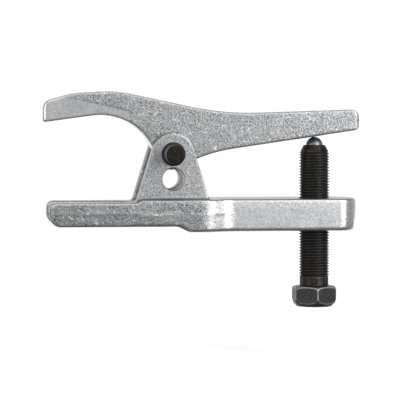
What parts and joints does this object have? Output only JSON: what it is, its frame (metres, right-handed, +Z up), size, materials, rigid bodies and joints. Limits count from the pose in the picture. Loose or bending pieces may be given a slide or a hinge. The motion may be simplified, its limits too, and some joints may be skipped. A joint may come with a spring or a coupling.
{
  "type": "ball joint puller",
  "caption": "Lever puller with a slotted fork, a rocking beak and a pressure screw, for pressing tapered ball joint studs out of their arms.",
  "frame": {"origin": "centre of the stud notch's arc, in the plane of the fork's upper face", "axes": "+X along the arm from the notch to the screw, +Y to the side of the pin's head, +Z up from the fork to the beak, parallel to the screw"},
  "size_m": [0.169, 0.0515, 0.1146],
  "materials": {
    "plated_forging": "satin plated drop forging",
    "black_oxide_steel": "black oxide, lightly oiled",
    "hardened_ball_steel": "ground and polished"
  },
  "bodies": {
    "frame": {"forged_body": "plated_forging"},
    "ball": {"thrust_ball": "hardened_ball_steel"},
    "screw": {"pressure_screw": "black_oxide_steel"},
    "lever": {"rocker_lever": "plated_forging"},
    "pin": {"pivot_pin": "black_oxide_steel", "snap_ring": "black_oxide_steel"}
  },
  "joints": [
    {"name": "screw_travel", "type": "slide", "parent": "frame", "child": "ball", "axis": [0, 0, 1], "range_m": [-0.0258, 0.029]},
    {"name": "screw_spin", "type": "hinge", "parent": "ball", "child": "screw", "pos_m": [0.1092, 0, 0], "axis": [0, 0, 1], "range_deg": [-6200, 6980]},
    {"name": "lever_pivot", "type": "hinge", "parent": "frame", "child": "lever", "pos_m": [0.032, 0, 0.0252], "axis": [0, -1, 0], "range_deg": [-19, 21.4]},
    {"name": "pin_spin", "type": "hinge", "parent": "frame", "child": "pin", "pos_m": [0.032, 0, 0.0252], "axis": [0, -1, 0], "continuous": true}
  ],
  "couplings": [
    {"joint": "screw_spin", "follows": "screw_travel", "rad_per_m": 4188.8},
    {"joint": "lever_pivot", "follows": "screw_travel", "rad_per_m": 12.8}
  ]
}
